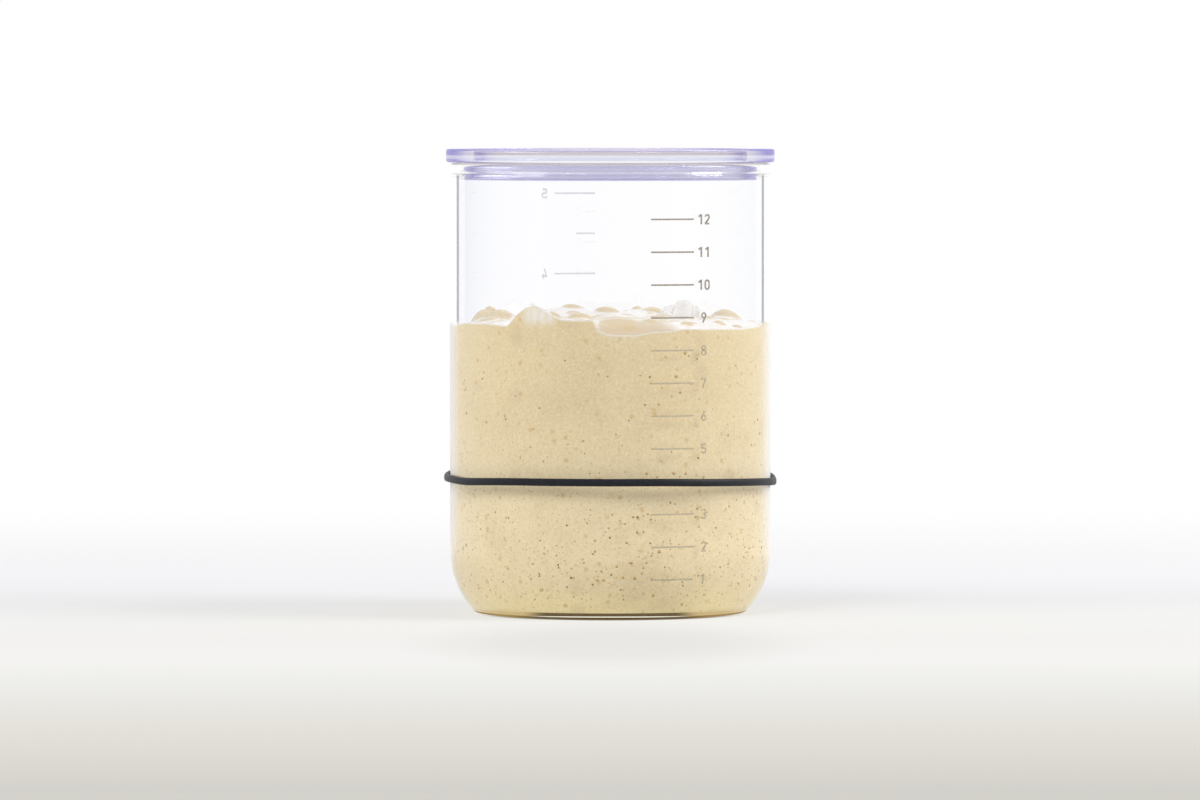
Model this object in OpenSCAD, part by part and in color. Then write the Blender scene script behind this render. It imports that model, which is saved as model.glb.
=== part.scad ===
// Straight-sided glass jar for sourdough starter, with a loose plug lid,
// printed centimetre and inch scales and a rubber band that marks the level.
// Millimetres. +Z is up, the table is z = 0, the axis of the jar is Z,
// and -Y is the side that carries the centimetre scale.

/* [Glass jar] */
// Outer diameter of the straight wall
body_d = 99.5; // [90:0.5:120]
// Height of the glass from the table to the top of the rim
body_h = 139.5; // [125:0.5:180]
// Thickness of the blown wall
wall_t = 2.4; // [1.6:0.1:3.6]
// Thickness of the glass under the contents
base_t = 2.5; // [2:0.1:6]
// Outside radius of the rounded heel
heel_r = 27; // [18:0.5:36]
// How far the bottom of the heel stands in from the wall
heel_inset = 7.8; // [5:0.2:14]
// Radius that eases the heel into the standing ring
foot_round = 1.5; // [0.8:0.1:3]
// Width of the flat ring that the jar stands on
foot_w = 5; // [3:0.5:12]
// How far the middle of the base is pushed up
punt_h = 1; // [0.4:0.1:2.5]
// Radius at the inside corner between heel and floor
floor_round = 3; // [1:0.5:6]

/* [Rim] */
// How far the fire-polished bead stands out of the wall
bead_out = 0.3; // [0.1:0.1:0.8]
// How far the bead stands into the mouth
bead_in = 0.1; // [0.1:0.1:0.6]
// Straight height between the bead's upper and lower rounds
bead_run = 0.8; // [0.2:0.1:3]

/* [Lid] */
// How far the flange stands out past the wall of the jar
flange_over = 1.25; // [1:0.05:4]
// Thickness of the flange that lies on the rim
flange_t = 4.2; // [2.5:0.1:8]
// Rounding of the flange's outer edges
flange_round = 0.8; // [0.4:0.1:1.2]
// Depth of the plug below the flange
plug_depth = 5.4; // [3:0.2:14]
// Free space all round between the plug and the glass
plug_gap = 1.85; // [0.6:0.05:4]
// Wall thickness of the hollow plug
plug_wall = 3; // [2:0.1:6]
// Rounding of the plug's bottom edge
plug_round = 1; // [0.4:0.1:2]
// Thickness of the lid's sunk floor
lid_floor_t = 4.1; // [2:0.1:5]
// Rounding where the sunk floor meets the plug wall, and of the mouth above it
dish_round = 0.9; // [0.3:0.1:1.2]
// Rounding of the root between the plug and the flange
root_round = 0.6; // [0.2:0.1:1]
// Air left between the rim and the flange, so that the two only touch
seat_gap = 0.1; // [0.05:0.05:0.3]

/* [Marker band] */
// Height of the middle of the band above the table
band_z = 42; // [30:0.5:110]
// Thickness of the rubber, measured out from the glass
band_t = 1.8; // [1:0.1:4]
// Height of the rubber section
band_h = 2.3; // [1:0.1:8]
// Lean of the band, low on the right
band_tilt = 0.75; // [0:0.05:1.5]
// Free space between the band and the printed lines
band_fit = 0.1; // [0.05:0.05:0.3]

/* [Starter] */
// Level of the starter at the glass, in centimetres on the printed scale
fill_mark = 8.6; // [5:0.1:11]
// Rise of the starter's crown above its level at the glass
crown_h = 2; // [0.5:0.1:5]
// Hair gap between the starter and the glass
fill_gap = 0.05; // [0.02:0.01:0.1]
// Number of gas domes that lift the surface
dome_n = 30; // [6:1:48]
// Smallest radius of a gas dome
dome_min = 3; // [2:0.1:4]
// Largest radius of a gas dome
dome_max = 6.8; // [4.5:0.1:8]
// Rise of the flattest gas dome, as a share of its radius
dome_flat = 0.45; // [0.3:0.05:0.6]
// Rise of the fullest gas dome, as a share of its radius
dome_full = 0.75; // [0.6:0.05:0.9]
// Radius of the larger froth bubble, at the front left
froth_front_r = 7.4; // [4:0.1:9]
// Height of the larger froth bubble
froth_front_h = 7; // [4:0.1:9]
// Radius of the smaller froth bubble, at the back right
froth_back_r = 5; // [3:0.1:7]
// Height of the smaller froth bubble
froth_back_h = 7.5; // [4:0.1:9]

/* [Printed scales] */
// Thickness of the fired enamel
print_t = 0.04; // [0.03:0.01:0.08]
// Height of one printed line
line_w = 0.5; // [0.3:0.05:1]
// Length of a centimetre line
cm_line = 14.2; // [8:0.2:20]
// Length of a whole-inch line
inch_line = 13.8; // [8:0.2:20]
// Length of a half-inch line
half_line = 6.4; // [3:0.2:8]
// Arc from the front centre to the start of the centimetre lines
cm_start = 12.5; // [5:0.1:25]
// Arc from the back centre to the start of the inch lines
inch_start = 4.9; // [2:0.1:20]
// Bare glass kept between the highest mark and the rim bead
print_clear = 5; // [3:0.5:20]

/* [Hidden] */
$fn = 96;

over = 0.5; // overrun of a cutting or joining shape past the face that it crosses
cm = 10;
inch = 25.4;
golden_angle = 137.508;

body_r = body_d / 2;
cavity_r = body_r - wall_t;
// the heel's arc has its centre at (heel_cx, heel_h), level with where it meets the wall
heel_cx = body_r - heel_r;
heel_h = sqrt(pow(heel_r, 2) - pow(heel_r - heel_inset, 2));
foot_out = foot_center(heel_r, 0, foot_round).x;
punt_r = foot_out - foot_w;

bead_t = wall_t + bead_out + bead_in;
bead_r = bead_t / 2;
bead_x = cavity_r - bead_in + bead_r;
bead_low = body_h - bead_t - bead_run;

flange_low = body_h + seat_gap;
lid_top = flange_low + flange_t;
lid_r = body_r + flange_over;
plug_r = cavity_r - plug_gap;
plug_low = flange_low - plug_depth;
dish_r = plug_r - plug_wall;

band_r = body_r + print_t + band_fit;

fill_z = base_t + fill_mark * cm;
fill_r = cavity_r - fill_gap;
crown_r = cap_radius(fill_r, crown_h);
froth_front = [-0.5, -0.66] * fill_r;
froth_back = [0.47, 0.52] * fill_r;

print_top = bead_low - print_clear;
cm_marks = floor((print_top - base_t) / cm);
half_marks = floor((print_top - base_t) / (inch / 2));

// Centre of the small arc that rounds the corner between the heel's arc and a level floor
function foot_center(arc_r, floor_z, r) =
    [heel_cx + sqrt(pow(arc_r - r, 2) - pow(heel_h - floor_z - r, 2)), floor_z + r];

// Radius of the sphere whose cap has the given base radius and height
function cap_radius(a, h) = (a * a + h * h) / (2 * h);

// Height of the starter's crown over the table at a distance from the axis
function crown_z(d) = fill_z + crown_h - crown_r + sqrt(pow(crown_r, 2) - d * d);

// A value from 0 to 1 that looks unordered but is the same in every build
function scatter(i) = 0.5 + 0.5 * sin(i * 211);

function dome_r(i) = dome_min + (dome_max - dome_min) * (scatter(i) + scatter(i + 7)) / 2;
function dome_h(i) = dome_r(i) * (dome_flat + (dome_full - dome_flat) * scatter(i + 3));
function dome_at(i) =
    let (d = (fill_r - dome_max - over) * sqrt((i + 0.5) / dome_n), a = i * golden_angle)
    [d * cos(a), d * sin(a)];

// The corner at the origin between two square edges and an arc: taken away it rounds
// an outside edge, added it fills an inside one
module corner(r) {
    difference() {
        translate([-over, -over]) square(r + over);
        translate([r, r]) circle(r);
    }
}

// Half outline of the jar's body with its skin moved out by grow, which is negative
// for the cavity. The heel's arc keeps its centre, so the glass keeps its thickness.
module body_outline(grow, floor_z, top_z, foot) {
    arc_r = heel_r + grow;
    f = foot_center(arc_r, floor_z, foot);
    heel_dir = (f - [heel_cx, heel_h]) / norm(f - [heel_cx, heel_h]);
    reach = 3 * foot;
    difference() {
        union() {
            translate([0, heel_h]) square([body_r + grow, top_z - heel_h]);
            translate([0, floor_z]) square([heel_cx, heel_h - floor_z]);
            intersection() {
                translate([heel_cx, heel_h]) circle(arc_r);
                translate([heel_cx, floor_z]) square([arc_r, heel_h - floor_z]);
            }
        }
        difference() {
            polygon([f, f - [0, reach], f + [reach, -reach], f + reach * heel_dir]);
            translate(f) circle(foot);
        }
    }
}

// Half outline of a shallow dome that rises by h at the axis above a level edge. Its arc is
// so flat that only a fine circle follows it.
module shallow_dome(edge_r, edge_z, h) {
    r = cap_radius(edge_r, h);
    intersection() {
        translate([0, edge_z + h - r]) circle(r, $fn = 256);
        translate([0, edge_z - over]) square([edge_r, h + 2 * over]);
    }
}

// Half outline of the jar's inside, up to a height, over a floor that follows the punt
module cavity_outline(gap, top_z) {
    difference() {
        body_outline(-wall_t - gap, base_t + gap, top_z, floor_round);
        shallow_dome(punt_r, base_t + gap, punt_h);
    }
}

module glass_jar() {
    color([0.93, 0.95, 0.97, 0.4]) rotate_extrude() {
        difference() {
            body_outline(0, 0, body_h - bead_r, foot_round);
            cavity_outline(0, body_h + over);
            shallow_dome(punt_r, 0, punt_h);
        }
        // the fire-polished bead of the rim
        translate([bead_x, body_h - bead_r]) circle(bead_r);
        translate([bead_x, bead_low + bead_r]) circle(bead_r);
        translate([bead_x - bead_r, bead_low + bead_r]) square([bead_t, bead_run]);
    }
}

// One printed line on the outside of the glass, from start to start + run along the wall.
// It is cut out of a whole ring, so that it follows the glass at every size.
module printed_line(z, start, run) {
    degrees_per_mm = 180 / (PI * body_r);
    turn = run * degrees_per_mm;
    intersection() {
        rotate_extrude() intersection() {
            difference() {
                body_outline(print_t, -print_t, body_h, foot_round);
                body_outline(0, 0, body_h + over, foot_round);
            }
            translate([0, z - line_w / 2]) square([body_d, line_w]);
        }
        rotate([0, 0, start * degrees_per_mm])
            linear_extrude(body_h) polygon([[0, 0], [body_d, 0], body_d * [cos(turn), sin(turn)]]);
    }
}

module cm_scale() {
    color([0.45, 0.39, 0.33]) rotate([0, 0, -90])
        for (k = [1 : cm_marks]) printed_line(base_t + k * cm, cm_start, cm_line);
}

module inch_scale() {
    color([0.55, 0.53, 0.52]) rotate([0, 0, 90])
        for (k = [1 : half_marks])
            printed_line(base_t + k * inch / 2, inch_start, k % 2 == 0 ? inch_line : half_line);
}

// A gas dome: the cap of a sphere, sunk a little into the surface that it lifts
module gas_dome(at, r, rise) {
    ball = cap_radius(r, rise);
    translate([at.x, at.y, crown_z(norm(at))])
        rotate_extrude() intersection() {
            translate([0, rise - ball]) circle(ball);
            translate([0, -over]) square([2 * ball, rise + 2 * over]);
        }
}

// The starter up to its smooth crown, without the domes
module starter_body() {
    rotate_extrude() intersection() {
        cavity_outline(fill_gap, fill_z + crown_h + over);
        union() {
            translate([0, base_t]) square([fill_r + over, fill_z - base_t]);
            shallow_dome(fill_r, fill_z, crown_h);
        }
    }
}

module starter() {
    color([0.88, 0.79, 0.66]) {
        starter_body();
        for (i = [0 : dome_n - 1])
            if (norm(dome_at(i) - froth_front) > dome_r(i) + froth_front_r
                && norm(dome_at(i) - froth_back) > dome_r(i) + froth_back_r)
                gas_dome(dome_at(i), dome_r(i), dome_h(i));
    }
}

module froth_bubbles() {
    color([0.97, 0.97, 0.96, 0.6]) difference() {
        union() {
            gas_dome(froth_front, froth_front_r, froth_front_h);
            gas_dome(froth_back, froth_back_r, froth_back_h);
        }
        starter_body();
    }
}

module lid() {
    color([0.78, 0.76, 0.9, 0.5]) rotate_extrude() difference() {
        union() {
            translate([0, plug_low]) square([dish_r + over, lid_floor_t]);
            translate([dish_r, plug_low]) square([plug_wall, plug_depth + over]);
            translate([dish_r, flange_low]) square([lid_r - dish_r, flange_t]);
            translate([dish_r, plug_low + lid_floor_t]) mirror([1, 0]) corner(dish_round);
            translate([plug_r, flange_low]) mirror([0, 1]) corner(root_round);
        }
        translate([plug_r, plug_low]) mirror([1, 0]) corner(plug_round);
        translate([lid_r, flange_low]) mirror([1, 0]) corner(flange_round);
        translate([lid_r, lid_top]) rotate(180) corner(flange_round);
        translate([dish_r, lid_top]) mirror([0, 1]) corner(dish_round);
    }
}

module marker_band() {
    round_r = 0.45 * min(band_t, band_h);
    color([0.13, 0.13, 0.15]) translate([0, 0, band_z]) rotate([0, band_tilt, 0])
        rotate_extrude() translate([band_r, -band_h / 2]) difference() {
            square([band_t, band_h]);
            corner(round_r);
            translate([band_t, 0]) mirror([1, 0]) corner(round_r);
            translate([0, band_h]) mirror([0, 1]) corner(round_r);
            translate([band_t, band_h]) rotate(180) corner(round_r);
        }
}

glass_jar();
cm_scale();
inch_scale();
starter();
froth_bubbles();
lid();
marker_band();
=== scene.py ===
import bpy
import numpy as np
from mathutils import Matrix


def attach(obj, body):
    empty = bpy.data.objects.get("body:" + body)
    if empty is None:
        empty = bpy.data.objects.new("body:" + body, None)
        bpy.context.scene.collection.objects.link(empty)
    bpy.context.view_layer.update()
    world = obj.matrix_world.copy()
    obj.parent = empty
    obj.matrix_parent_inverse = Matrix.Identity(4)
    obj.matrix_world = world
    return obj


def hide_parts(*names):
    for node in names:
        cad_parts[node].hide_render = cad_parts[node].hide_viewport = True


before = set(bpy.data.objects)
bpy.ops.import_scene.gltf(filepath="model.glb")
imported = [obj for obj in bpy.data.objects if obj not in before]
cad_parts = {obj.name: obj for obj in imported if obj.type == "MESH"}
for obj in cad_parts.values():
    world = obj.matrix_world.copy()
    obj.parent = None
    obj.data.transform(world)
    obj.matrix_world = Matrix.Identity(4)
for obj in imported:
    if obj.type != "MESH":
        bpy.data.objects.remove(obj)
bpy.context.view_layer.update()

# The view. A long lens looks along +Y from a little above the lid, and the jar stands
# slightly right of the middle.
CAMERA_BACK = 2.45
CAMERA_RISE = 0.1558
CAMERA_LEFT = 0.0032
CAMERA_DROP = 2.105  # degrees below the horizon
CAMERA_LENS = 236.7  # millimetres, on a sensor 36 mm wide

camera = bpy.data.objects.new("camera", bpy.data.cameras.new("camera"))
camera.data.lens = CAMERA_LENS
camera.data.sensor_width = 36
camera.data.clip_end = 30
camera.location = (-CAMERA_LEFT, -CAMERA_BACK, CAMERA_RISE)
camera.rotation_euler = (np.radians(90 - CAMERA_DROP), 0, 0)
bpy.context.scene.collection.objects.link(camera)
bpy.context.scene.camera = camera
bpy.context.scene.view_settings.view_transform = "Standard"


# Light and table. White paper all round, a large soft lamp at the right, a weaker one at the
# left and a small one high in front, and a pale table top that fades into the paper behind.
class Wire:
    """A socket in a node tree. Arithmetic on it adds Math nodes, and make adds any other node."""

    def __init__(self, tree, socket=None):
        self.tree = tree
        self.socket = socket

    def make(self, kind, settings=None, values=None, out=0):
        """Adds a node of this kind: settings first, then a value or a link for each socket."""
        node = self.tree.nodes.new("ShaderNode" + kind)
        for key, setting in (settings or {}).items():
            if key == "stops":
                for i, (place, colour) in enumerate(setting):
                    ramp = node.color_ramp.elements
                    stop = ramp[i] if i < 2 else ramp.new(place)
                    stop.position = place
                    stop.color = colour
            else:
                setattr(node, key, setting)
        for key, value in (values or {}).items():
            if isinstance(value, Wire):
                self.tree.links.new(value.socket, node.inputs[key])
            else:
                node.inputs[key].default_value = value
        return Wire(self.tree, node.outputs[out] if len(node.outputs) else None)

    def math(self, operation, *others):
        """A Math node with this wire as its first value."""
        return self.make("Math", {"operation": operation}, dict(enumerate((self, *others))))

    def vector(self, operation, *others, out=0):
        """A Vector Math node with this wire as its first vector."""
        return self.make("VectorMath", {"operation": operation}, dict(enumerate((self, *others))), out)

    def part(self, axis):
        """One number of a vector: 0, 1 or 2 for x, y or z."""
        return self.make("SeparateXYZ", values={0: self}, out=axis)

    def off_axis(self):
        """How far a place is from the Z axis."""
        return self.vector("MULTIPLY", (1, 1, 0)).vector("LENGTH", out=1)

    def step(self, low, high):
        """0 below low and 1 above high, with an eased slope between; low above high turns it over."""
        way = {"interpolation_type": "SMOOTHSTEP"}
        return self.make("MapRange", way, {0: self, 1: low, 2: high, 3: 0.0, 4: 1.0})

    def ramp(self, *stops):
        """The colour at this place on a ramp. The first two stops are its two ends."""
        return self.make("ValToRGB", {"stops": stops}, {0: self})

    def blend(self, first, second):
        """The first colour where this wire is 0 and the second where it is 1."""
        values = {0: self, 6: first, 7: second}
        return self.make("Mix", {"data_type": "RGBA"}, values, out=2)

    def cover(self, first, second):
        """The first shader where this wire is 0 and the second where it is 1."""
        return self.make("MixShader", values={0: self, 1: first, 2: second})

    def __add__(self, other):
        return self.math("ADD", other)

    def __radd__(self, other):
        return self.math("ADD", other)

    def __sub__(self, other):
        return self.math("SUBTRACT", other)

    def __rsub__(self, other):
        return self.make("Math", {"operation": "SUBTRACT"}, {0: other, 1: self})

    def __mul__(self, other):
        return self.math("MULTIPLY", other)

    def __rmul__(self, other):
        return self.math("MULTIPLY", other)


def tone(red, green, blue):
    """A screen colour from 0 to 255 as the linear colour that a shader takes."""
    c = np.array([red, green, blue]) / 255
    linear = np.where(c > 0.04045, ((c + 0.055) / 1.055) ** 2.4, c / 12.92)
    return (*linear.tolist(), 1.0)


def blank(name):
    """A new material without nodes, and the wire that makes them."""
    material = bpy.data.materials.new(name)
    material.use_nodes = True
    material.node_tree.nodes.clear()
    return material, Wire(material.node_tree)


WHITE = (1, 1, 1, 1)
AMBIENT = 0.6
AMBIENT_FRONT = 0.3  # from the side of the camera
MIRRORED = 1.15  # how bright the lit paper looks in reflections at both sides
BEHIND_LENS = 1.0  # and towards the camera
CEILING = 0.8  # and, as a share of that, straight above


def mirrored(look):
    """How bright the paper is for a mirrored ray that looks this way: a little less towards the
    camera than at the sides, and less straight above than round about."""
    back = look.part(1).step(-0.5, -0.88)
    side = MIRRORED - back * (MIRRORED - BEHIND_LENS)
    return side * (1 - look.part(2).step(0.45, 0.95) * (1 - CEILING))


world = bpy.data.worlds.new("paper")
world.use_nodes = True
world.node_tree.nodes.clear()
wire = Wire(world.node_tree)
look = wire.make("TexCoord")
through = wire.make("LightPath", out="Is Transmission Ray")
seen = wire.make("LightPath", out="Is Camera Ray").math("MAXIMUM", through)
dim = AMBIENT - look.part(1).step(0.1, -0.9) * (AMBIENT - AMBIENT_FRONT)
lit = wire.make("Background", values={"Color": WHITE, "Strength": dim})
gloss = wire.make("Background", values={"Color": WHITE, "Strength": mirrored(look)})
paper = wire.make("Background", values={"Color": WHITE, "Strength": 1.0})
unseen = wire.make("LightPath", out="Is Glossy Ray").cover(lit, gloss)
wire.make("OutputWorld", values={"Surface": seen.cover(unseen, paper)})
bpy.context.scene.world = world


def lamp(name, azimuth, elevation, distance, size, watts):
    """A square lamp aimed at the middle of the jar. Azimuth 0 is in front, and 90 at the right."""
    a, e = np.radians([azimuth, elevation])
    away = np.array([np.sin(a) * np.cos(e), -np.cos(a) * np.cos(e), np.sin(e)])
    light = bpy.data.objects.new(name, bpy.data.lights.new(name, "AREA"))
    light.data.shape = "SQUARE"
    light.data.size = size
    light.data.energy = watts
    light.visible_glossy = name == "key"
    light.location = (0, 0, 0.07) + away * distance
    light.rotation_euler = (np.radians(90) - e, 0, a)
    bpy.context.scene.collection.objects.link(light)


lamp("key", azimuth=80, elevation=33, distance=1.9, size=0.9, watts=21)
lamp("fill", azimuth=-66, elevation=28, distance=1.9, size=0.9, watts=7.5)
lamp("front", azimuth=-30, elevation=44, distance=1.9, size=0.6, watts=11.5)

TABLE_HALF = 6.0
TABLE_DROP = 0.00005  # under the standing ring, so that the two don't lie in one plane
TABLE_BACK = 0.65  # where the table has faded into the paper
TABLE_FADE = 0.55
TABLE_TONED = 0.7  # how far in front of the jar and behind it the row of tones below runs
TABLE_GLOW = 0.6  # the share of its tone that needs no lamp, which softens the shadows on it
BOUNCE = 0.85  # how much light the table throws back on to the jar

table_mesh = bpy.data.meshes.new("table")
corners = np.array([[-1, -1, 0], [1, -1, 0], [1, 1, 0], [-1, 1, 0]]) * TABLE_HALF
corners[:, 2] = -TABLE_DROP
table_mesh.from_pydata(corners.tolist(), [], [[0, 1, 2, 3]])
table = bpy.data.objects.new("table", table_mesh)
bpy.context.scene.collection.objects.link(table)

top, wire = blank("table top")
place = wire.make("TexCoord", out="Object")
behind = place.part(1)
far = place.vector("LENGTH", out=1)
fade = behind.step(TABLE_BACK - TABLE_FADE, TABLE_BACK).math("MAXIMUM", far.step(0.9, 1.5))
across = (behind + TABLE_TONED) * (0.5 / TABLE_TONED)
# the tones darken towards the front: a painted falloff of the light
shade = across.ramp(
    (0.042, tone(203, 201, 195)), (1.0, tone(243, 243, 244)), (0.123, tone(215, 212, 205)),
    (0.19, tone(221, 219, 213)), (0.239, tone(226, 225, 221)), (0.291, tone(231, 231, 228)),
    (0.346, tone(237, 236, 234)), (0.406, tone(236, 235, 233)), (0.47, tone(238, 238, 236)),
    (0.506, tone(238, 238, 238)), (0.543, tone(237, 237, 238)), (0.582, tone(239, 239, 241)),
    (0.639, tone(242, 242, 244)))
# painted soft shade that the jar leaves in front of it, and a painted contact shadow where it touches
in_front = place.vector("MULTIPLY", (1.8, 1, 1)).vector("DISTANCE", (0, -0.15, 0), out=1)
shade = (in_front.step(0.12, 0.04) * 0.13).blend(shade, tone(150, 140, 118))
contact_shadow = far.step(0.0455, 0.042) * behind.step(-0.012, -0.034)
shade = (contact_shadow * 0.8).blend(shade, tone(100, 78, 38))
matt = wire.make("MixShader", values={
    0: TABLE_GLOW, 1: wire.make("BsdfDiffuse", values={"Color": shade}),
    2: wire.make("Emission", values={"Color": shade, "Strength": 1.0})})
glow = wire.make("Emission", values={"Color": WHITE, "Strength": 1.0})
# far from the jar, its mirror image in glass is the paper's, and so is the light it throws back
image = wire.make("Emission", values={"Color": WHITE, "Strength": mirrored(place.vector("NORMALIZE"))})
through = wire.make("LightPath", out="Is Transmission Ray")
in_glass = wire.make("LightPath", out="Is Glossy Ray") * (1 - through) * far.step(0.15, 0.4)
paper_top = in_glass.cover(fade.cover(matt, glow), image)
bounce = wire.make("Emission", values={"Color": tone(250, 247, 240), "Strength": BOUNCE})
lights_jar = wire.make("LightPath", out="Is Diffuse Ray")
wire.make("OutputMaterial", values={"Surface": lights_jar.cover(paper_top, bounce)})
table_mesh.materials.append(top)


# The jar. One blown piece of clear glass: a straight wall, a rounded heel that stands on a
# flat ring, a base pushed up a little in the middle, and a fire-polished bead at the rim.
MM = 0.001
BODY_R, WALL, BASE = 49.75, 2.4, 2.5
HEEL_R, HEEL_X, HEEL_Z = 27, 22.75, 18.98
FOOT_X, FOOT_ROUND, PUNT_R, PUNT_H = 41.31, 1.5, 36.3, 1.0
FLOOR_X, FLOOR_ROUND = 39.63, 3.0
BEAD_X, BEAD_R, BEAD_LOW, BEAD_HIGH = 48.65, 1.4, 137.3, 138.1


def arc(centre, radius, start, end, count):
    """Points (distance from the axis, height) on a circle, from one angle in degrees to another."""
    a = np.radians(np.linspace(start, end, count))
    return np.stack([centre[0] + radius * np.cos(a), centre[1] + radius * np.sin(a)], 1)


def line(start, end, count):
    """Evenly spaced points from start to end, without the last."""
    return np.linspace(start, end, count, endpoint=False)


def punt(edge_r, floor_z, count):
    """A shallow dome from the axis out: its height falls with the square of the distance."""
    r = np.linspace(0, 1, count)
    return np.stack([edge_r * r, floor_z + PUNT_H * (1 - r * r)], 1)


def piece(name, points, faces, material, body, slot, *nodes):
    """Makes a smooth mesh in millimetres, gives it its finish, hangs it on its body and hides the nodes
    that it stands in for.
    """
    mesh = bpy.data.meshes.new(name)
    mesh.from_pydata((np.asarray(points) * MM).tolist(), [], faces)
    mesh.shade_smooth()
    mesh.materials.append(material)
    obj = bpy.data.objects.new(name, mesh)
    bpy.context.scene.collection.objects.link(obj)
    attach(obj, body)
    if nodes:
        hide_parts(*nodes)
    return obj


def turned(profile, sides):
    """Points and faces of a profile turned about Z. A point (r, z) becomes a ring of points
    (r cos t, r sin t, z); the profile starts and ends on the axis, where the ring is one point."""
    t = np.linspace(0, 2 * np.pi, sides, endpoint=False)
    r, z = profile[1:-1].T
    rings = np.stack([np.outer(r, np.cos(t)), np.outer(r, np.sin(t)), z[:, None] + 0 * t], 2)
    points = np.concatenate([rings.reshape(-1, 3), [[0, 0, profile[0, 1]], [0, 0, profile[-1, 1]]]])
    return points, ring_faces(len(r), sides)


def ring_faces(rings, sides):
    """Quads between neighbouring rings, and a fan from the first and last ring to a pole each."""
    i, j = np.meshgrid(np.arange(rings - 1), np.arange(sides), indexing="ij")
    k = (j + 1) % sides
    quads = np.stack([i * sides + j, i * sides + k, (i + 1) * sides + k, (i + 1) * sides + j], 2)
    j = np.arange(sides)
    k = (j + 1) % sides
    last = (rings - 1) * sides
    start = np.stack([np.full(sides, rings * sides), k, j], 1)
    end = np.stack([np.full(sides, rings * sides + 1), last + j, last + k], 1)
    return quads.reshape(-1, 4).tolist() + start.tolist() + end.tolist()


heel_foot = np.degrees(np.arctan2(FOOT_ROUND - HEEL_Z, FOOT_X - HEEL_X))
floor_foot = np.degrees(np.arctan2(BASE + FLOOR_ROUND - HEEL_Z, FLOOR_X - HEEL_X))
bead_out = -np.degrees(np.arccos((BODY_R - BEAD_X) / BEAD_R))
bead_in = 180 + np.degrees(np.arccos((BEAD_X - BODY_R + WALL) / BEAD_R))
outside = np.concatenate([
    punt(PUNT_R, 0, 24),
    line((PUNT_R + 0.2, 0), (FOOT_X, 0), 5),
    arc((FOOT_X, FOOT_ROUND), FOOT_ROUND, -90, heel_foot, 8),
    arc((HEEL_X, HEEL_Z), HEEL_R, heel_foot + 1, 0, 40),
    line((BODY_R, HEEL_Z + 1), (BODY_R, 136), 60),
    arc((BEAD_X, BEAD_LOW), BEAD_R, bead_out, 0, 8),
])
inside = np.concatenate([
    arc((BEAD_X, BEAD_HIGH), BEAD_R, 0, 180, 24),
    arc((BEAD_X, BEAD_LOW), BEAD_R, 180, bead_in, 6),
    line((BODY_R - WALL, 136.4), (BODY_R - WALL, HEEL_Z), 60),
    arc((HEEL_X, HEEL_Z), HEEL_R - WALL, 0, floor_foot + 1, 40),
    arc((FLOOR_X, BASE + FLOOR_ROUND), FLOOR_ROUND, floor_foot, -90, 10),
    line((FLOOR_X - 0.4, BASE), (PUNT_R, BASE), 5),
    punt(PUNT_R, BASE, 24)[::-1],
])


def passing(wire):
    """1 for the rays that go straight through: shadow rays, rays that light matt things, and
    rays that have already been mirrored 4 times or bent 9 times inside clear walls."""
    mirrored_often = wire.make("LightPath", out="Glossy Depth").math("GREATER_THAN", 3.5)
    bent_often = wire.make("LightPath", out="Ray Depth").math("GREATER_THAN", 9.5)
    shadow = wire.make("LightPath", out="Is Shadow Ray")
    lights = wire.make("LightPath", out="Is Diffuse Ray")
    worn = mirrored_often.math("MAXIMUM", bent_often)
    return shadow.math("MAXIMUM", lights).math("MAXIMUM", worn)


STARTER_LOW, STARTER_HIGH = 0.089, 0.091  # where the jar turns from filled to empty
CAP_LOW, CAP_HIGH = 0.1355, 0.136  # and from the empty wall to the mouth with the lid in it

clear, wire = blank("clear glass")
place = wire.make("TexCoord", out="Object")
out_r = place.off_axis()
height = place.part(2)
facing = wire.make("LayerWeight", values={"Blend": 0.5}, out="Facing")
empty = height.step(STARTER_LOW, STARTER_HIGH) * height.step(CAP_HIGH, CAP_LOW)
filled = height.step(STARTER_HIGH, STARTER_LOW)
# the wall deepens in tone to both sides, up to the line of its inner face, and more at the left, which
# is painted shade
depth = facing.ramp(
    (0.1, tone(254, 254, 255)), (1.0, tone(255, 255, 255)), (0.33, tone(252, 252, 254)),
    (0.47, tone(247, 248, 251)), (0.58, tone(242, 243, 248)), (0.68, tone(235, 236, 242)),
    (0.72, tone(255, 255, 255)))
shade_to_left = place.part(0).step(0.02, -0.02) * 0.55 + 0.45
tint = (shade_to_left * empty).blend(WHITE, depth)
# that line, where a ray runs along the inner face: a painted dark line that stands for the dark
# surroundings which real glass bends into view there
around = wire.make("VectorMath", {"operation": "CROSS_PRODUCT"}, {0: (0, 0, 1), 1: place})
around = around.vector("NORMALIZE")
aslant = wire.make("LayerWeight", values={"Blend": 0.5, "Normal": around}, out="Facing")
painted_wall_line = (aslant - WALL / BODY_R).math("ABSOLUTE").step(0.0097, 0.0052) * out_r.step(0.0485, 0.049)
tint = (painted_wall_line * empty).blend(tint, tone(92, 94, 108))
# painted shade on the fire-polished bead: an olive line under it, and another on its crown under the
# lid's flange
under_bead_shade = (height - 0.1361).math("ABSOLUTE").step(0.0003, 0.0001) * facing.step(0.5, 0.75)
bead = under_bead_shade.math("MAXIMUM", height.step(0.1386, 0.1392))
tint = bead.blend(tint, tone(198, 193, 168))
glass = wire.make("BsdfPrincipled", values={
    "Base Color": tint, "Roughness": 0.0, "IOR": 1.5, "Transmission Weight": 1.0})
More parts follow.
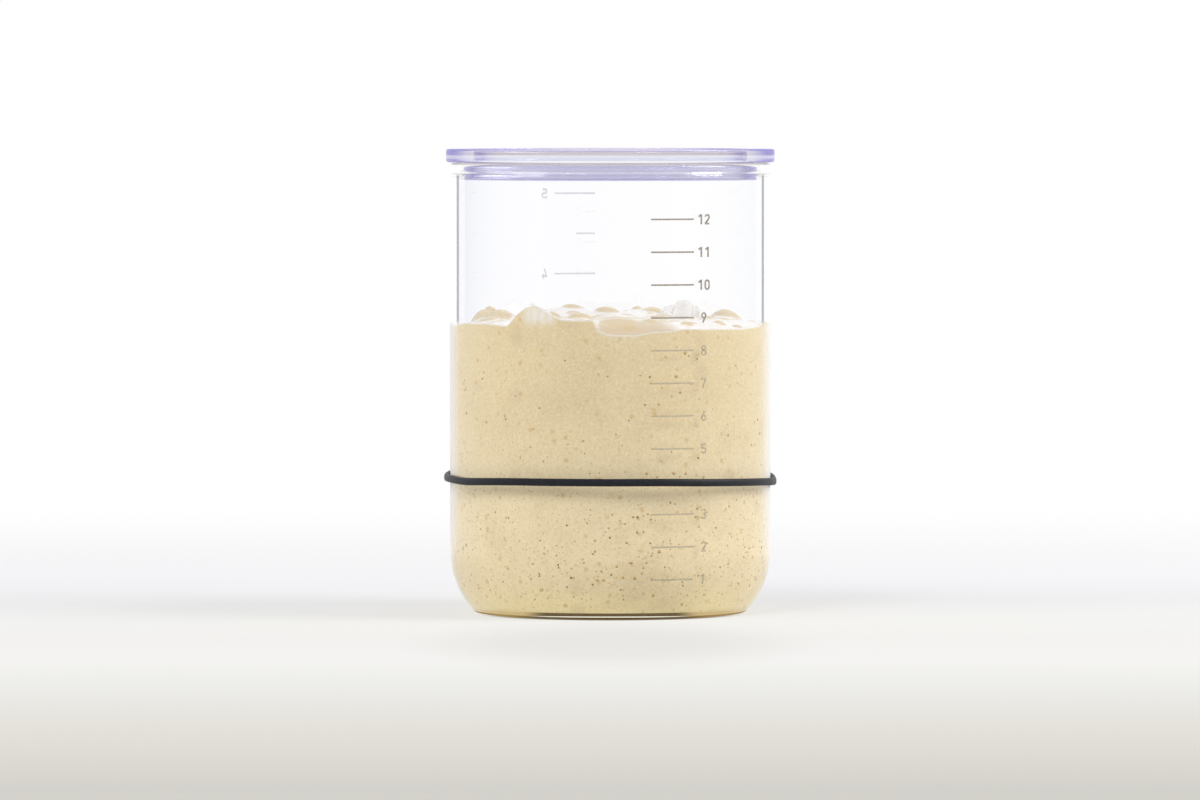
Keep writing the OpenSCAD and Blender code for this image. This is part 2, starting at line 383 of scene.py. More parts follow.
# a painted pale reflection on the outline of the filled part, and a painted dark shade, golden at both
# sides, round the standing ring
outline = facing.step(0.6, 0.97) * filled * height.step(0.01, 0.03)
edge_reflection = wire.make("BsdfDiffuse", values={"Color": tone(238, 236, 236)})
foot_shade_mask = height.step(0.0008, 0.0006) * out_r.step(0.0405, 0.041)
aside = place.part(0).math("ABSOLUTE").step(0.02, 0.032)
foot_shade = wire.make("BsdfDiffuse", values={"Color": aside.blend(tone(96, 75, 36), tone(170, 143, 84))})
glass = (foot_shade_mask * 0.9).cover(outline.cover(glass, edge_reflection), foot_shade)
open_glass = wire.make("BsdfTransparent", values={"Color": (0.98, 0.98, 0.98, 1)})
wire.make("OutputMaterial", values={"Surface": passing(wire).cover(glass, open_glass)})
jar_points, jar_faces = turned(np.concatenate([outside, inside]), 256)
piece("blown_jar", jar_points, jar_faces, clear, "jar", "clear_glass", "glass_jar")


# The printed scales. Fired enamel on the outside of the glass: a line for each centimetre at
# the front and for each half inch at the back, with upright numbers at the right of the lines.
NUMBER_H, NUMBER_STROKE, NUMBER_T, NUMBER_SUNK = 3.1, 0.58, 0.04, 0.01
NUMBER_W, NUMBER_PITCH = 0.63, 0.82  # width of a figure and the step to the next, of its height
CM_NUMBERS, INCH_NUMBERS = 30.35, 22.2  # arc from the front or back centre to a number's middle


def bow(x, y, rx, ry, start, end, count=20):
    """Points on part of an ellipse, from one angle in degrees to another."""
    a = np.radians(np.linspace(start, end, count))
    return np.stack([x + rx * np.cos(a), y + ry * np.sin(a)], 1)


def stroke(start, end):
    """A straight stroke, with points close enough together to bend round the glass."""
    return np.linspace(start, end, 8)


def figure(digit):
    """The middle lines of a plain upright figure, 1 high and 0.54 wide before it is widened."""
    six = [bow(0.27, 0.3, 0.2, 0.23, 0, 360, 32), stroke((0.075, 0.37), (0.36, 0.98))]
    return {
        "0": [np.concatenate([bow(0.27, 0.7, 0.2, 0.23, 0, 180), bow(0.27, 0.3, 0.2, 0.23, 180, 360),
                              [[0.47, 0.7]]])],
        "1": [stroke((0.36, 0), (0.36, 1)), stroke((0.08, 0.74), (0.37, 0.95))],
        "2": [np.concatenate([bow(0.27, 0.7, 0.2, 0.23, 170, -35), [[0.07, 0.06]]]),
              stroke((0.02, 0.07), (0.5, 0.07))],
        "3": [bow(0.25, 0.72, 0.2, 0.21, 150, -90), bow(0.25, 0.29, 0.23, 0.22, 90, -155)],
        "4": [stroke((0.3, 1), (0.06, 0.27)), stroke((0.0, 0.27), (0.54, 0.27)),
              stroke((0.4, 0.5), (0.4, 0))],
        "5": [stroke((0.05, 0.93), (0.48, 0.93)), stroke((0.1, 0.95), (0.07, 0.48)),
              bow(0.25, 0.32, 0.22, 0.25, 140, -155)],
        "6": six,
        "7": [stroke((0.0, 0.93), (0.52, 0.93)), stroke((0.47, 0.95), (0.17, 0))],
        "8": [bow(0.27, 0.74, 0.18, 0.19, 0, 360, 28), bow(0.27, 0.29, 0.21, 0.22, 0, 360, 28)],
        "9": [(0.54, 1.0) - part for part in six],
    }[digit]


def skin_radius(z, inset=0.0):
    """Distance from the axis of the surface that lies inset under the glass's outside: straight
    above the heel, and below it round about the heel's centre."""
    below = np.maximum(HEEL_Z - z, 0)
    return np.where(below > 0, HEEL_X + np.sqrt((HEEL_R - inset) ** 2 - below ** 2), BODY_R - inset)


def printed(texts, middle, turn):
    """Points and faces of numbers round the glass. Each stroke is a flat bar: its middle line is
    moved to both sides, square to its run, and given a lower and an upper side, and the points
    (arc, height) then go to (R sin(arc / R), -R cos(arc / R), height), turned about Z."""
    points, faces = [], []
    for text, level in texts:
        for place, digit in enumerate(text):
            step = place - (len(text) - 1) / 2
            for path in figure(digit):
                path = (path - (0.27, 0.5)) * (NUMBER_W / 0.54, 1) + (step * NUMBER_PITCH, 0)
                path = path * NUMBER_H + (middle, level)
                run = np.gradient(path, axis=0)
                side = np.stack([-run[:, 1], run[:, 0]], 1) / np.linalg.norm(run, axis=1)[:, None]
                side *= NUMBER_STROKE / 2
                flat = np.stack([path - side, path + side, path + side, path - side], 1)
                lift = np.array([-NUMBER_SUNK, -NUMBER_SUNK, NUMBER_T, NUMBER_T]) + 0 * flat[..., 0]
                angle = flat[..., 0] / BODY_R + turn
                r = skin_radius(flat[..., 1]) + lift
                n, first = len(path), sum(map(len, points))
                bar = np.stack([r * np.sin(angle), -r * np.cos(angle), flat[..., 1]], 2)
                points.append(bar.reshape(-1, 3))
                i = first + 4 * np.arange(n - 1)[:, None]
                for a, b in ((0, 1), (1, 2), (2, 3), (3, 0)):
                    faces += np.concatenate([i + a, i + 4 + a, i + 4 + b, i + b], 1).tolist()
                faces.append([first + a for a in (0, 1, 2, 3)])
                faces.append([first + 4 * n - 4 + a for a in (3, 2, 1, 0)])
    return np.concatenate(points), faces


def enamel(name, full, worn):
    """Fired enamel, a little uneven in depth: its full colour where the glass is clear behind it,
    and below the starter's level a beige one, painted light of the batter showing through the thin
    enamel."""
    material, wire = blank(name)
    place = wire.make("TexCoord", out="Object")
    grain = wire.make("TexNoise", values={"Vector": place, "Scale": 1500, "Detail": 3})
    colour = place.part(2).step(STARTER_HIGH, STARTER_LOW).blend(full, worn)
    paint = wire.make("BsdfPrincipled", values={
        "Base Color": (grain.step(0.35, 0.75) * 0.3).blend(colour, tone(235, 228, 215)),
        "Roughness": grain * 0.2 + 0.25})
    wire.make("OutputMaterial", values={"Surface": paint})
    return material


brown = enamel("brown enamel", tone(148, 139, 126), tone(184, 170, 142))
grey = enamel("grey enamel", tone(226, 226, 232), tone(170, 156, 130))
for node, material in (("cm_scale", brown), ("inch_scale", grey)):
    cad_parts[node].data.materials[0] = material
cm_texts = [(str(k), BASE + 10 * k) for k in range(1, 13)]
inch_texts = [(str(k), BASE + 25.4 * k) for k in range(1, 6)]
piece("cm_numbers", *printed(cm_texts, CM_NUMBERS, 0), brown, "jar", "brown_enamel")
piece("inch_numbers", *printed(inch_texts, INCH_NUMBERS, np.pi), grey, "jar", "grey_enamel")


# The starter. Risen batter of flour and water: it wets the glass all round, so there is no air
# between them, and gas domes lift its wet skin on top. Pores show where bubbles meet the glass.
FILL_LEVEL = 91.2  # of the skin between the domes, away from the glass
SHORE_W = 13.0  # how far from the glass the skin has risen to that level
INTO_GLASS = 0.15  # how far the batter reaches into the wall, so that no air shows between them
SKIN_R = BODY_R - WALL + INTO_GLASS

# angle from the front to the right, and height of the batter at the glass
SHORE = np.array([
    (-170, 89.2), (-130, 89.8), (-90, 88.6), (-79, 88.7), (-67, 89.8), (-50.5, 89.9), (-42, 89.4),
    (-40.6, 89.5), (-38, 91.5), (-35.6, 93.5), (-32.9, 94.8), (-30, 95.6), (-28, 95.7),
    (-25.1, 94.4), (-21.3, 92.5), (-17.6, 91.4), (-12, 91.3), (-6.4, 91.4), (-4.8, 88.3),
    (-1, 87.1), (3.2, 86.8), (9, 86.8), (15.6, 87.8), (21.4, 87.9), (27.5, 88.6), (41.8, 88.4),
    (54.8, 88.2), (68.8, 88.7), (75.8, 90.4), (82, 89.6), (90, 89.2), (120, 89.0), (150, 90.0)])
# low swells of foam under the domes: x, y, rise and radius
SWELLS = np.array([
    (-14.0, 26.0, 2.9, 17.0), (9.0, 30.0, 1.9, 15.0), (-35.0, 8.0, 0.9, 12.0), (-1.0, 19.0, 1.2, 12.0)])
# x, y, height of the top and radius of the gas domes that show from the front
DOMES = np.array([
    (-40.5, 6.0, 93.6, 4.0), (-38.3, 9.0, 94.7, 3.6), (-34.2, 2.0, 93.9, 5.0),
    (-37.3, -13.0, 92.0, 4.2), (-34.0, -20.0, 90.9, 2.6), (-12.0, 25.0, 95.0, 3.9),
    (-18.4, 8.0, 93.0, 3.4), (-9.5, -12.0, 93.2, 5.0), (-0.9, 20.0, 94.3, 4.6),
    (1.9, -25.0, 92.5, 6.2), (14.0, -27.0, 91.2, 8.5), (8.6, 32.0, 94.2, 2.2),
    (13.9, 28.0, 94.0, 4.0), (36.7, 10.0, 93.7, 5.8), (23.2, -32.5, 91.0, 2.2),
    (33.2, -22.0, 91.0, 2.1), (38.5, -21.0, 89.7, 1.7), (44.3, -3.0, 90.5, 2.6),
    (30.0, -9.0, 92.2, 3.4), (2.5, -34.5, 92.0, 6.6)])
# the others lie on a spiral of golden angles, with these ranges of radius and of rise over radius
SMALL_DOMES, SMALL_REACH, GOLDEN = 60, 41, 2.39996
SMALL_R, SMALL_RISE = (1.4, 3.8), (0.06, 0.26)
SHARP = 3.0  # how sharply caps meet
CREEP, CREEP_W = 0.4, 0.4  # the batter creeps up the glass, and how fast that dies away from it


def smooth(x, low, high):
    """0 below low and 1 above high, with an eased slope between."""
    t = np.clip((x - low) / (high - low), 0, 1)
    return t * t * (3 - 2 * t)


def ground(x, y):
    """Height of the batter's foamy top without its domes: it rises from the shore at the glass to its
    level, and each swell adds its rise, eased from its radius inwards."""
    shore = np.interp(np.degrees(np.arctan2(x, -y)), *SHORE.T, period=360)
    level = shore + (FILL_LEVEL - shore) * smooth(SKIN_R - np.hypot(x, y), 0, SHORE_W)
    return level + sum(rise * smooth(w - np.hypot(x - u, y - v), 0, w) for u, v, rise, w in SWELLS)


def skin(x, y):
    """Height of the batter's skin and how much of it is white. Each dome is a cap that rises by
    rise * (1 - (d / radius) squared) over the ground; where caps meet, the higher one wins
    softly, by the logarithm of the sum of their exponentials. The white lies between the caps: a foamy
    skin with a painted sheen."""
    rng = np.random.default_rng(7)
    reach = SMALL_REACH * np.sqrt((np.arange(SMALL_DOMES) + 0.5) / SMALL_DOMES)
    turn = np.arange(SMALL_DOMES) * GOLDEN
    small_r = rng.uniform(*SMALL_R, SMALL_DOMES)
    small_rise = small_r * rng.uniform(*SMALL_RISE, SMALL_DOMES)
    domes = np.concatenate([
        np.stack([*DOMES.T[:2], DOMES[:, 2] - ground(*DOMES.T[:2]), DOMES[:, 3]], 1),
        np.stack([reach * np.cos(turn), reach * np.sin(turn), small_rise, small_r], 1)])
    total, foam_and_sheen = np.ones_like(x), np.ones_like(x)
    for u, v, rise, w in domes:
        q = np.clip(1 - ((x - u) ** 2 + (y - v) ** 2) / w ** 2, 0, 1)
        total = total + np.exp(SHARP * rise * q) - 1
        foam_and_sheen = np.minimum(foam_and_sheen, 1 - smooth(q, 0.12, 0.34))
    # a broad bare slope at the front, right of the middle
    angle = np.degrees(np.arctan2(x, -y))
    inwards = SKIN_R - np.minimum(np.hypot(x, y), SKIN_R)
    bare = smooth(angle, -8, -4) * smooth(angle, 32, 20) * smooth(inwards, 16, 10)
    foam_and_sheen = foam_and_sheen * (1 - 0.88 * bare)
    climb = CREEP * np.exp(-inwards / CREEP_W)
    return ground(x, y) + np.log(total) / SHARP + climb, foam_and_sheen


SIDES = 448
bottom = np.concatenate([
    punt(PUNT_R, BASE - INTO_GLASS, 12),
    line((PUNT_R + 0.5, BASE - INTO_GLASS), (FLOOR_X, BASE - INTO_GLASS), 3),
    arc((FLOOR_X, BASE + FLOOR_ROUND), FLOOR_ROUND + INTO_GLASS, -90, floor_foot, 8),
    arc((HEEL_X, HEEL_Z), HEEL_R - WALL + INTO_GLASS, floor_foot + 2, 0, 24),
])
t = np.linspace(0, 2 * np.pi, SIDES, endpoint=False)
ring = np.stack([np.cos(t), np.sin(t)], 1)
low_rings = np.concatenate([bottom[1:, :1, None] * ring, bottom[1:, 1:, None] + 0 * ring[:, :1]], 2)
shore_z = skin(*(SKIN_R * ring).T)[0]
up_wall = 1 - np.linspace(1, 0, 48)[1:] ** 1.8
wall_rings = np.stack([
    np.concatenate([SKIN_R * ring, (HEEL_Z + (shore_z - HEEL_Z) * u)[:, None]], 1) for u in up_wall])
reach = SKIN_R * (1 - np.linspace(0, 1, 96)[1:-1])
top_xy = reach[:, None, None] * ring
top_z, top_foam_and_sheen = skin(top_xy[..., 0], top_xy[..., 1])
top_rings = np.concatenate([top_xy, top_z[..., None]], 2)
rings = np.concatenate([low_rings, wall_rings, top_rings])
poles = [[0, 0, bottom[0, 1]], [0, 0, float(skin(np.zeros(1), np.zeros(1))[0][0])]]
batter_points = np.concatenate([rings.reshape(-1, 3), poles])

# the side is batter, but for the hill of froth at the front left, which is streaked with white,
# a thin veil of it under the bare slope, and the pale rim of the skin, a painted highlight
level = wall_rings[..., 2]
around = np.degrees(np.arctan2(wall_rings[..., 0], -wall_rings[..., 1]))
streaks = 0.5 + 0.5 * np.cos(np.radians((around + 28.6) * 360 / 3.15))
hill = smooth(around, -36, -31) * smooth(around, -18.5, -22) * smooth(level, 89.0, 92.5)
crown = smooth(around, -33, -29.5) * smooth(around, -20.5, -23.5) * smooth(level, 96.0, 94.0)
veil = smooth(around, -11, -3) * smooth(around, 14, 6) * smooth(level, shore_z - 2.5, shore_z)
rim_highlight = smooth(level, shore_z - 0.45, shore_z - 0.15)
wall_foam_and_highlight = np.maximum(hill * (0.6 + 0.4 * streaks * crown), np.maximum(veil * 0.25, rim_highlight * 0.8))
foam_and_sheen = np.concatenate([np.zeros(low_rings.size // 3), wall_foam_and_highlight.ravel(), top_foam_and_sheen.ravel(), [0, 0.5]])

batter, wire = blank("starter")
place = wire.make("TexCoord", out="Object")
out_r = place.off_axis()
height = place.part(2)


def blots(scale, radius, keep):
    """Soft round spots: near the middle of a cell, in a share of the cells."""
    cell = {"Vector": place, "Scale": scale}
    near = wire.make("TexVoronoi", values=cell, out=0).step(radius, 0.3 * radius)
    chance = wire.make("SeparateColor", values={0: wire.make("TexVoronoi", values=cell, out=1)})
    return near * chance.step(1 - keep, 1.0)


FLOOR_SKIN = 0.0028  # just over the lowest of the batter, on the glass of the base
FLOOR_LIGHT = 0.8  # how much light the standing ring throws up into the base

# batter, deeper in tone upwards, with clouds, a fine grain and blots of three sizes
tint = height.step(0.07, 0.03).blend(tone(229, 210, 168), tone(237, 219, 178))
# lighter still at the very bottom: painted light that the table throws up into the heel
tint = height.step(0.014, 0.002).blend(tint, tone(250, 231, 175))
cloud = wire.make("TexNoise", values={"Vector": place, "Scale": 60, "Detail": 4, "Roughness": 0.6})
tint = (cloud.step(0.42, 0.75) * 0.6).blend(tint, tone(217, 198, 156))
speck = wire.make("TexNoise", values={"Vector": place, "Scale": 1300, "Detail": 3, "Roughness": 0.7})
tint = (speck.step(0.45, 0.8) * 0.4).blend(tint, tone(198, 168, 108))
tint = (speck.step(0.5, 0.2) * 0.6).blend(tint, tone(247, 238, 212))
tint = (blots(110, 0.42, 0.5) * 0.3).blend(tint, tone(198, 174, 142))
tint = (blots(300, 0.32, 0.7) * 0.65).blend(tint, tone(206, 172, 104))
tint = (blots(700, 0.34, 0.5) * height.step(0.075, 0.03) * 0.7).blend(tint, tone(196, 158, 92))
# the wet skin of the domes, darker than the side: painted shade against the strong light from
# above; and the white foam between them, with a painted sheen
wet_and_shaded = out_r.step(0.0474, 0.0468) * height.step(0.08, 0.086)
dome = height.step(0.0908, 0.0885).blend(tone(216, 197, 158), tone(206, 180, 136))
tint = wet_and_shaded.blend(tint, dome)
white = (blots(420, 0.38, 0.7) * 0.5).blend(tone(241, 237, 230), tone(222, 204, 170))
white = (cloud.step(0.45, 0.7) * 0.3).blend(white, tone(230, 220, 200))
froth = wire.make("Attribute", {"attribute_name": "foam_and_sheen"}, out="Fac")
tint = froth.blend(tint, white)
# painted shade makes the underside dark, and painted light makes it glow golden at both sides
# and in a bright ring in the middle
under = height.step(FLOOR_SKIN, FLOOR_SKIN - 0.0002)
tint = under.blend(tint, tone(112, 90, 42))
aside = place.part(0).math("ABSOLUTE").step(0.019, 0.027)
bright = out_r.step(0.0361, 0.0363) * out_r.step(0.0378, 0.0376) * (1 - aside)
bright = height.step(0.0031, 0.0027) * bright
shine = (under * aside).blend((0, 0, 0, 1), tone(205, 182, 130))
bump = wire.make("Bump", values={"Height": speck, "Distance": 0.0001, "Strength": 0.4})
dough = wire.make("BsdfPrincipled", values={
    "Base Color": tint, "Roughness": 0.75 - wet_and_shaded * 0.67, "IOR": 1.45, "Normal": bump,
    "Emission Color": bright.blend(shine, (1, 1, 0.86, 1)), "Emission Strength": FLOOR_LIGHT})
wire.make("OutputMaterial", values={"Surface": dough})
batter_faces = ring_faces(len(rings), SIDES)
skin_piece = piece("batter", batter_points, batter_faces, batter, "jar", "starter_batter", "starter")
foam_and_sheen_layer = skin_piece.data.attributes.new("foam_and_sheen", "FLOAT", "POINT")
foam_and_sheen_layer.data.foreach_set("value", foam_and_sheen.astype(np.float32))

# angle from the front to the right, height and radius of the pores that stand out most
PORES = np.array([
    (28.1, 81.7, 0.53), (29.6, 80.8, 0.34), (24.5, 74.6, 0.53), (14.4, 74.5, 0.37),
    (26.1, 69.6, 0.34), (17.8, 66.1, 0.34), (12.6, 66.0, 0.34), (-26.7, 64.9, 0.34),
    (-41.5, 61.2, 0.34), (-29.1, 58.4, 0.34),
    (48.0, 56.1, 0.34), (33.7, 49.5, 0.37), (-25.1, 48.6, 0.34), (13.3, 45.1, 0.47), (23.6, 45.0, 0.5),
    (28.4, 44.8, 0.4), (9.9, 31.7, 0.47), (14.8, 31.0, 0.37), (3.5, 30.7, 0.31), (5.2, 29.7, 0.34),
    (-16.0, 29.2, 0.34), (9.7, 27.1, 0.4), (-0.2, 25.5, 0.37), (-5.7, 24.6, 0.37), (5.9, 24.0, 0.43),
    (-5.6, 21.3, 0.37), (18.0, 21.1, 0.53), (-6.4, 20.5, 0.34), (13.2, 17.8, 0.37), (7.6, 17.7, 0.4),
    (2.3, 16.8, 0.43), (12.1, 16.3, 0.34), (-19.2, 16.3, 0.31), (-3.3, 15.3, 0.34), (11.6, 14.7, 0.37),
    (0.3, 14.3, 0.4), (4.6, 13.4, 0.43), (-14.6, 13.3, 0.4), (8.9, 13.2, 0.5), (-6.6, 11.3, 0.37),
    (3.8, 9.8, 0.37), (16.7, 7.9, 0.47), (29.7, 5.1, 0.43)])
SMALL_PORES, REAR_PORES = 1500, 110


def pits(pores):
    """Points and faces of pores: low lenses on the side of the batter, each a ring of 8 points
    (angle + s cos(a) / R, height + s sin(a)) between an outer and an inner middle point."""
    angle, level, size = pores[:, 0, None], pores[:, 1, None], pores[:, 2, None]
    a = np.radians(np.arange(0, 360, 45))
    turn = np.concatenate([angle + size * np.cos(a) / SKIN_R, angle, angle], 1)
    z = np.concatenate([level + size * np.sin(a), level, level], 1)
    lift = np.array([0.01] * 8 + [0.04, -0.03])
    r = skin_radius(z, WALL - INTO_GLASS) + lift
    points = np.stack([r * np.sin(turn), -r * np.cos(turn), z], 2).reshape(-1, 3)
    i = np.arange(8)
    k = (i + 1) % 8
    lens = np.concatenate([np.stack([i, k, 0 * i + 8], 1), np.stack([k, i, 0 * i + 9], 1)])
    return points, (lens + 10 * np.arange(len(pores))[:, None, None]).reshape(-1, 3).tolist()


# most small pores lie in the lower half, where the batter is oldest; the rest are higher up
rng = np.random.default_rng(11)
crowd = 34.0 * rng.beta(1.1, 1.3, SMALL_PORES) + 6.5
crowd = np.where(rng.random(SMALL_PORES) < 0.25, rng.uniform(42.0, 84.0, SMALL_PORES), crowd)
turn = rng.uniform(-180, 180, SMALL_PORES)
small = np.stack([turn, crowd, 0.12 + 0.2 * rng.random(SMALL_PORES) ** 2], 1)
rear = np.stack([rng.uniform(62, 298, REAR_PORES), 8 + 70 * rng.random(REAR_PORES) ** 1.6,
                 rng.uniform(0.28, 0.52, REAR_PORES)], 1)
pores = np.concatenate([PORES, small, rear]) * (np.pi / 180, 1, 1)

pore, wire = blank("pores")
place = wire.make("TexCoord", out="Object")
deep = wire.make("TexNoise", values={"Vector": place, "Scale": 260, "Detail": 2})
wire.make("OutputMaterial", values={"Surface": wire.make("BsdfPrincipled", values={
    "Base Color": deep.step(0.3, 0.6).blend(tone(150, 104, 36), tone(210, 170, 96)),
    "Roughness": 0.5 + deep * 0.2})})
piece("pores", *pits(pores), pore, "jar", "starter_batter")


# The froth. Thin wet films of batter over trapped gas, pale and nearly clear, in two clusters
# on the skin: a broad one at the front left and a small one at the back right.
FROTH = (  # clusters of bubbles, each x, y, z of the middle and radius
    ((-21.6, -36.5, 90.8, 4.6), (-23.4, -39.6, 96.5, 0.75)),
    ((23.4, 24.6, 92.4, 4.0), (19.6, 23.6, 93.4, 1.5), (17.9, 23.8, 93.2, 1.3),
     (26.6, 25.4, 92.4, 2.2)),
)


def bubbles(clusters):
    """Points and faces of spheres that meet in flat films: a point past the plane where two
    spheres cross is moved back to that plane."""
    points, faces = [], []
    rows, sides = 22, 36
    a = np.linspace(-np.pi / 2, np.pi / 2, rows)
    globe, quads = turned(np.stack([np.cos(a), np.sin(a)], 1), sides)
    for cluster in clusters:
        for i, (*centre, radius) in enumerate(cluster):
            ball = globe * radius + centre
            for j, (*other, other_r) in enumerate(cluster):
                gap = np.subtract(other, centre)
                d = np.linalg.norm(gap)
                if i == j or d > radius + other_r or d < abs(radius - other_r):
                    continue
                plane = (d * d + radius ** 2 - other_r ** 2) / (2 * d)
                past = np.maximum((ball - centre) @ (gap / d) - plane, 0)
                ball = ball - past[:, None] * gap / d
            first = sum(map(len, points))
            points.append(ball)
            faces += [[first + k for k in quad] for quad in quads]
    return np.concatenate(points), faces


film, wire = blank("froth film")
facing = wire.make("LayerWeight", values={"Blend": 0.5}, out="Facing")
place = wire.make("TexCoord", out="Object")
milk = wire.make("TexNoise", values={"Vector": place, "Scale": 120, "Detail": 1})
veil = facing.step(0.3, 1.0) * 0.3 + milk.step(0.35, 0.65) * 0.3 + 0.25
wire.make("OutputMaterial", values={"Surface": wire.make("BsdfPrincipled", values={
    "Base Color": tone(247, 245, 241), "Roughness": 0.3, "IOR": 1.2, "Alpha": veil})})
piece("froth", *bubbles(FROTH), film, "jar", "starter_froth", "froth_bubbles")


# The lid. Moulded clear plastic with a violet cast that deepens with its thickness: a flange
# that lies on the rim, a hollow plug that hangs in the mouth, and a floor sunk between them.
LID_R, FLANGE_LOW, LID_TOP, FLANGE_ROUND = 51.0, 139.6, 143.8, 0.8
PLUG_R, PLUG_LOW, PLUG_ROUND, ROOT_ROUND = 45.5, 134.2, 1.0, 0.6
DISH_R, DISH_LOW, DISH_ROUND = 42.5, 138.3, 0.9
lid_outline = np.concatenate([
    line((0, PLUG_LOW), (PLUG_R - PLUG_ROUND, PLUG_LOW), 14),
    arc((PLUG_R - PLUG_ROUND, PLUG_LOW + PLUG_ROUND), PLUG_ROUND, -90, 0, 8),
    line((PLUG_R, PLUG_LOW + 1.4), (PLUG_R, FLANGE_LOW - ROOT_ROUND), 6),
    arc((PLUG_R + ROOT_ROUND, FLANGE_LOW - ROOT_ROUND), ROOT_ROUND, 180, 90, 6),
    line((PLUG_R + 1.0, FLANGE_LOW), (LID_R - FLANGE_ROUND, FLANGE_LOW), 5),
    arc((LID_R - FLANGE_ROUND, FLANGE_LOW + FLANGE_ROUND), FLANGE_ROUND, -90, 0, 10),
    line((LID_R, FLANGE_LOW + 1.0), (LID_R, LID_TOP - FLANGE_ROUND), 10),
    arc((LID_R - FLANGE_ROUND, LID_TOP - FLANGE_ROUND), FLANGE_ROUND, 0, 90, 10),
    line((LID_R - 1.6, LID_TOP), (DISH_R + DISH_ROUND, LID_TOP), 6),
    arc((DISH_R + DISH_ROUND, LID_TOP - DISH_ROUND), DISH_ROUND, 90, 180, 8),
    line((DISH_R, LID_TOP - 1.2), (DISH_R, DISH_LOW + DISH_ROUND), 6),
    arc((DISH_R - DISH_ROUND, DISH_LOW + DISH_ROUND), DISH_ROUND, 0, -90, 8),
    line((DISH_R - 1.3, DISH_LOW), (0, DISH_LOW), 14),
    [[0, DISH_LOW]],
])

plastic, wire = blank("clear plastic")
facing = wire.make("LayerWeight", values={"Blend": 0.5}, out="Facing")
place = wire.make("TexCoord", out="Object")
out_r = place.off_axis()
height = place.part(2)
entering = 1 - wire.make("NewGeometry", out="Backfacing")
# the flange, from its underside 0 to its top 1: seen straight on, where the warm grey band near
# its top is a painted reflection, and at its ends, where the plastic is deepest
share = (height - FLANGE_LOW * MM) * (1000 / (LID_TOP - FLANGE_LOW))
face = share.ramp(
    (0.0, tone(255, 255, 255)), (1.0, tone(232, 226, 236)), (0.1, tone(255, 255, 255)),
    (0.16, tone(226, 230, 242)), (0.34, tone(228, 232, 243)), (0.4, tone(250, 249, 251)),
    (0.52, tone(255, 255, 255)), (0.58, tone(186, 172, 178)), (0.64, tone(208, 199, 200)),
    (0.8, tone(214, 206, 207)), (0.88, tone(245, 241, 244)), (0.96, tone(224, 216, 230)))
end = share.ramp(
    (0.0, tone(132, 122, 202)), (1.0, tone(176, 170, 218)), (0.22, tone(142, 134, 206)),
    (0.34, tone(196, 192, 226)), (0.48, tone(196, 192, 226)), (0.58, tone(120, 110, 194)),
    (0.97, tone(112, 102, 192)))
flange = share.math("GREATER_THAN", 0.0) * entering
to_ends = facing.step(0.38, 0.7)
# the plug: clear straight on, violet at its ends, and pale on the rounding at its foot
plug_side = facing.step(0.45, 0.75) * out_r.step(0.0435, 0.0445)
plug = plug_side.blend(to_ends.blend(WHITE, tone(170, 164, 216)), tone(62, 56, 122))
plug = height.step(0.1355, 0.1347).blend(plug, tone(196, 192, 218))
bulk = wire.make("BsdfPrincipled", values={
    "Base Color": flange.blend(plug, to_ends.blend(face, end)),
    "Roughness": 0.02, "IOR": 1.5, "Transmission Weight": 1.0})
# a faint haze on the ends of flange and plug, and on the upper edge
hanging = height.step(0.1342, 0.1346) * height.step(0.1396, 0.1392) * entering
worn = flange * share.step(0.84, 0.9) * 0.5
milky = ((flange * 0.6 + hanging * 0.55) * facing.step(0.5, 0.8)).math("MAXIMUM", worn)
haze = wire.make("BsdfPrincipled", values={
    "Base Color": facing.step(0.35, 0.6).blend(tone(236, 230, 236), end),
    "Roughness": 0.4, "IOR": 1.1})
open_plastic = wire.make("BsdfTransparent", values={"Color": (0.96, 0.96, 0.99, 1)})
violet = wire.make("VolumeAbsorption", values={"Color": (0.38, 0.35, 0.66, 1), "Density": 12.0})
wire.make("OutputMaterial", values={
    "Surface": passing(wire).cover(milky.cover(bulk, haze), open_plastic), "Volume": violet})
piece("plug_lid", *turned(lid_outline, 256), plastic, "lid", "clear_plastic", "lid")


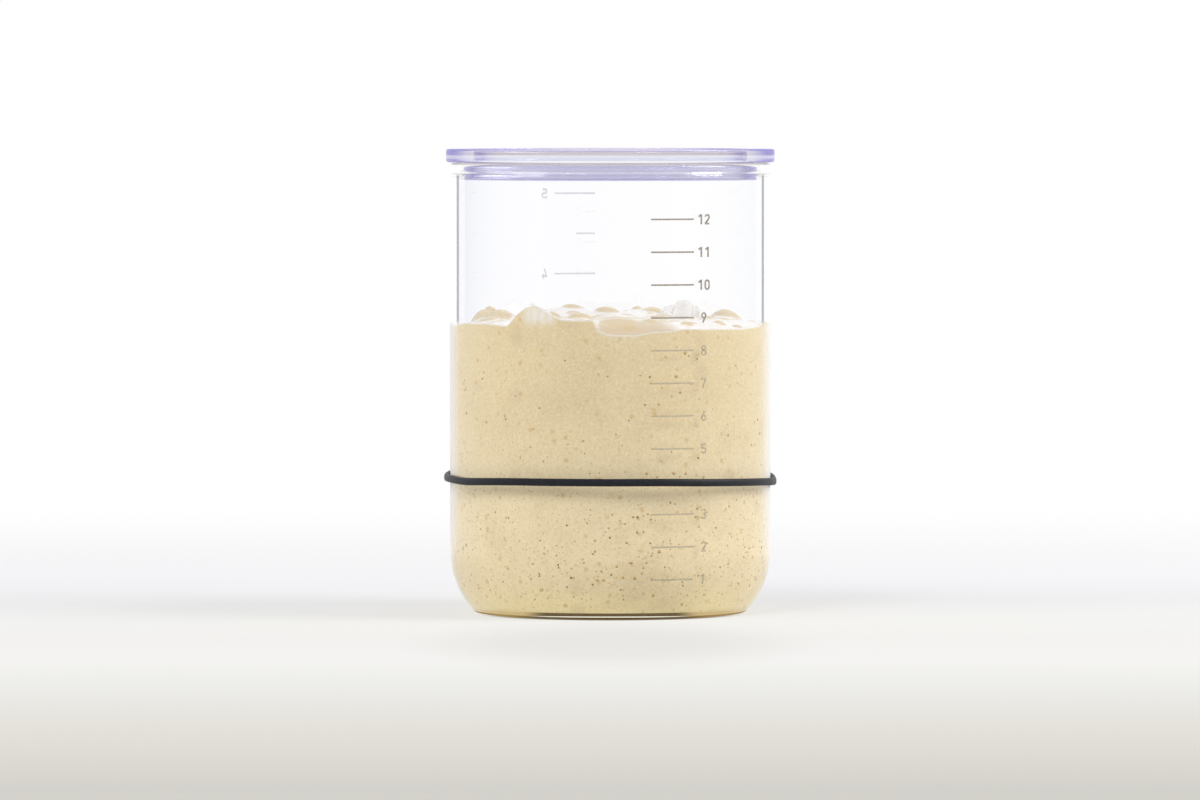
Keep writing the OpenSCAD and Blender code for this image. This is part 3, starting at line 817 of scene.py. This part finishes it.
# The marker band. A round-edged ring of black rubber, stretched over the glass, that rides a
# little bowed and lower at the right. It stays where it was rolled to mark a level.
BAND_IN, BAND_T, BAND_H, BAND_ROUND = 49.86, 1.8, 2.3, 0.8
# angle from the front to the right, and height of the band's middle there
BAND_SWAY = np.array([
    (-180, 42.5), (-140, 42.7), (-105, 42.5), (-90, 41.8), (-73.7, 41.8), (-62, 41.5),
    (-57, 41.65), (-43.5, 42.1), (-32.5, 42.3), (-14, 42.4), (12, 42.4), (21, 42.3), (30, 42.1),
    (41, 41.85), (54, 41.55), (64, 41.3), (74, 41.0), (90, 40.5), (99, 41.6), (130, 42.2)])
quarter = arc((BAND_T / 2 - BAND_ROUND, BAND_H / 2 - BAND_ROUND), BAND_ROUND, 0, 90, 6)
section = np.concatenate([
    quarter, (quarter * (-1, 1))[::-1], quarter * (-1, -1), (quarter * (1, -1))[::-1]])
t = np.linspace(0, 2 * np.pi, 288, endpoint=False)[:, None]
band_r = BAND_IN + BAND_T / 2 + section[:, 0]
# the heights in between, smoothed by a moving average of 7 of them round the ring
levels = np.interp(np.degrees(t[:, 0]) + 90, *BAND_SWAY.T, period=360)
sway = np.mean([np.roll(levels, k) for k in range(-3, 4)], 0)[:, None]
band_points = np.stack([band_r * np.cos(t), band_r * np.sin(t), section[:, 1] + sway], 2)
around, across = band_points.shape[:2]
i, j = np.meshgrid(np.arange(around), np.arange(across), indexing="ij")
i2, j2 = (i + 1) % around, (j + 1) % across
band_faces = np.stack([i * across + j, i2 * across + j, i2 * across + j2, i * across + j2], 2)

rubber, wire = blank("black rubber")
place = wire.make("TexCoord", out="Object")
grain = wire.make("TexNoise", values={"Vector": place, "Scale": 900, "Detail": 4})
bump = wire.make("Bump", values={"Height": grain, "Distance": 0.0001, "Strength": 0.4})
wire.make("OutputMaterial", values={"Surface": wire.make("BsdfPrincipled", values={
    "Base Color": grain.step(0.3, 0.8).blend(tone(9, 10, 15), tone(24, 27, 38)),
    "Roughness": grain * 0.2 + 0.4, "IOR": 1.35, "Normal": bump})})
piece("band_ring", band_points.reshape(-1, 3), band_faces.reshape(-1, 4).tolist(), rubber, "band",
      "black_rubber", "marker_band")
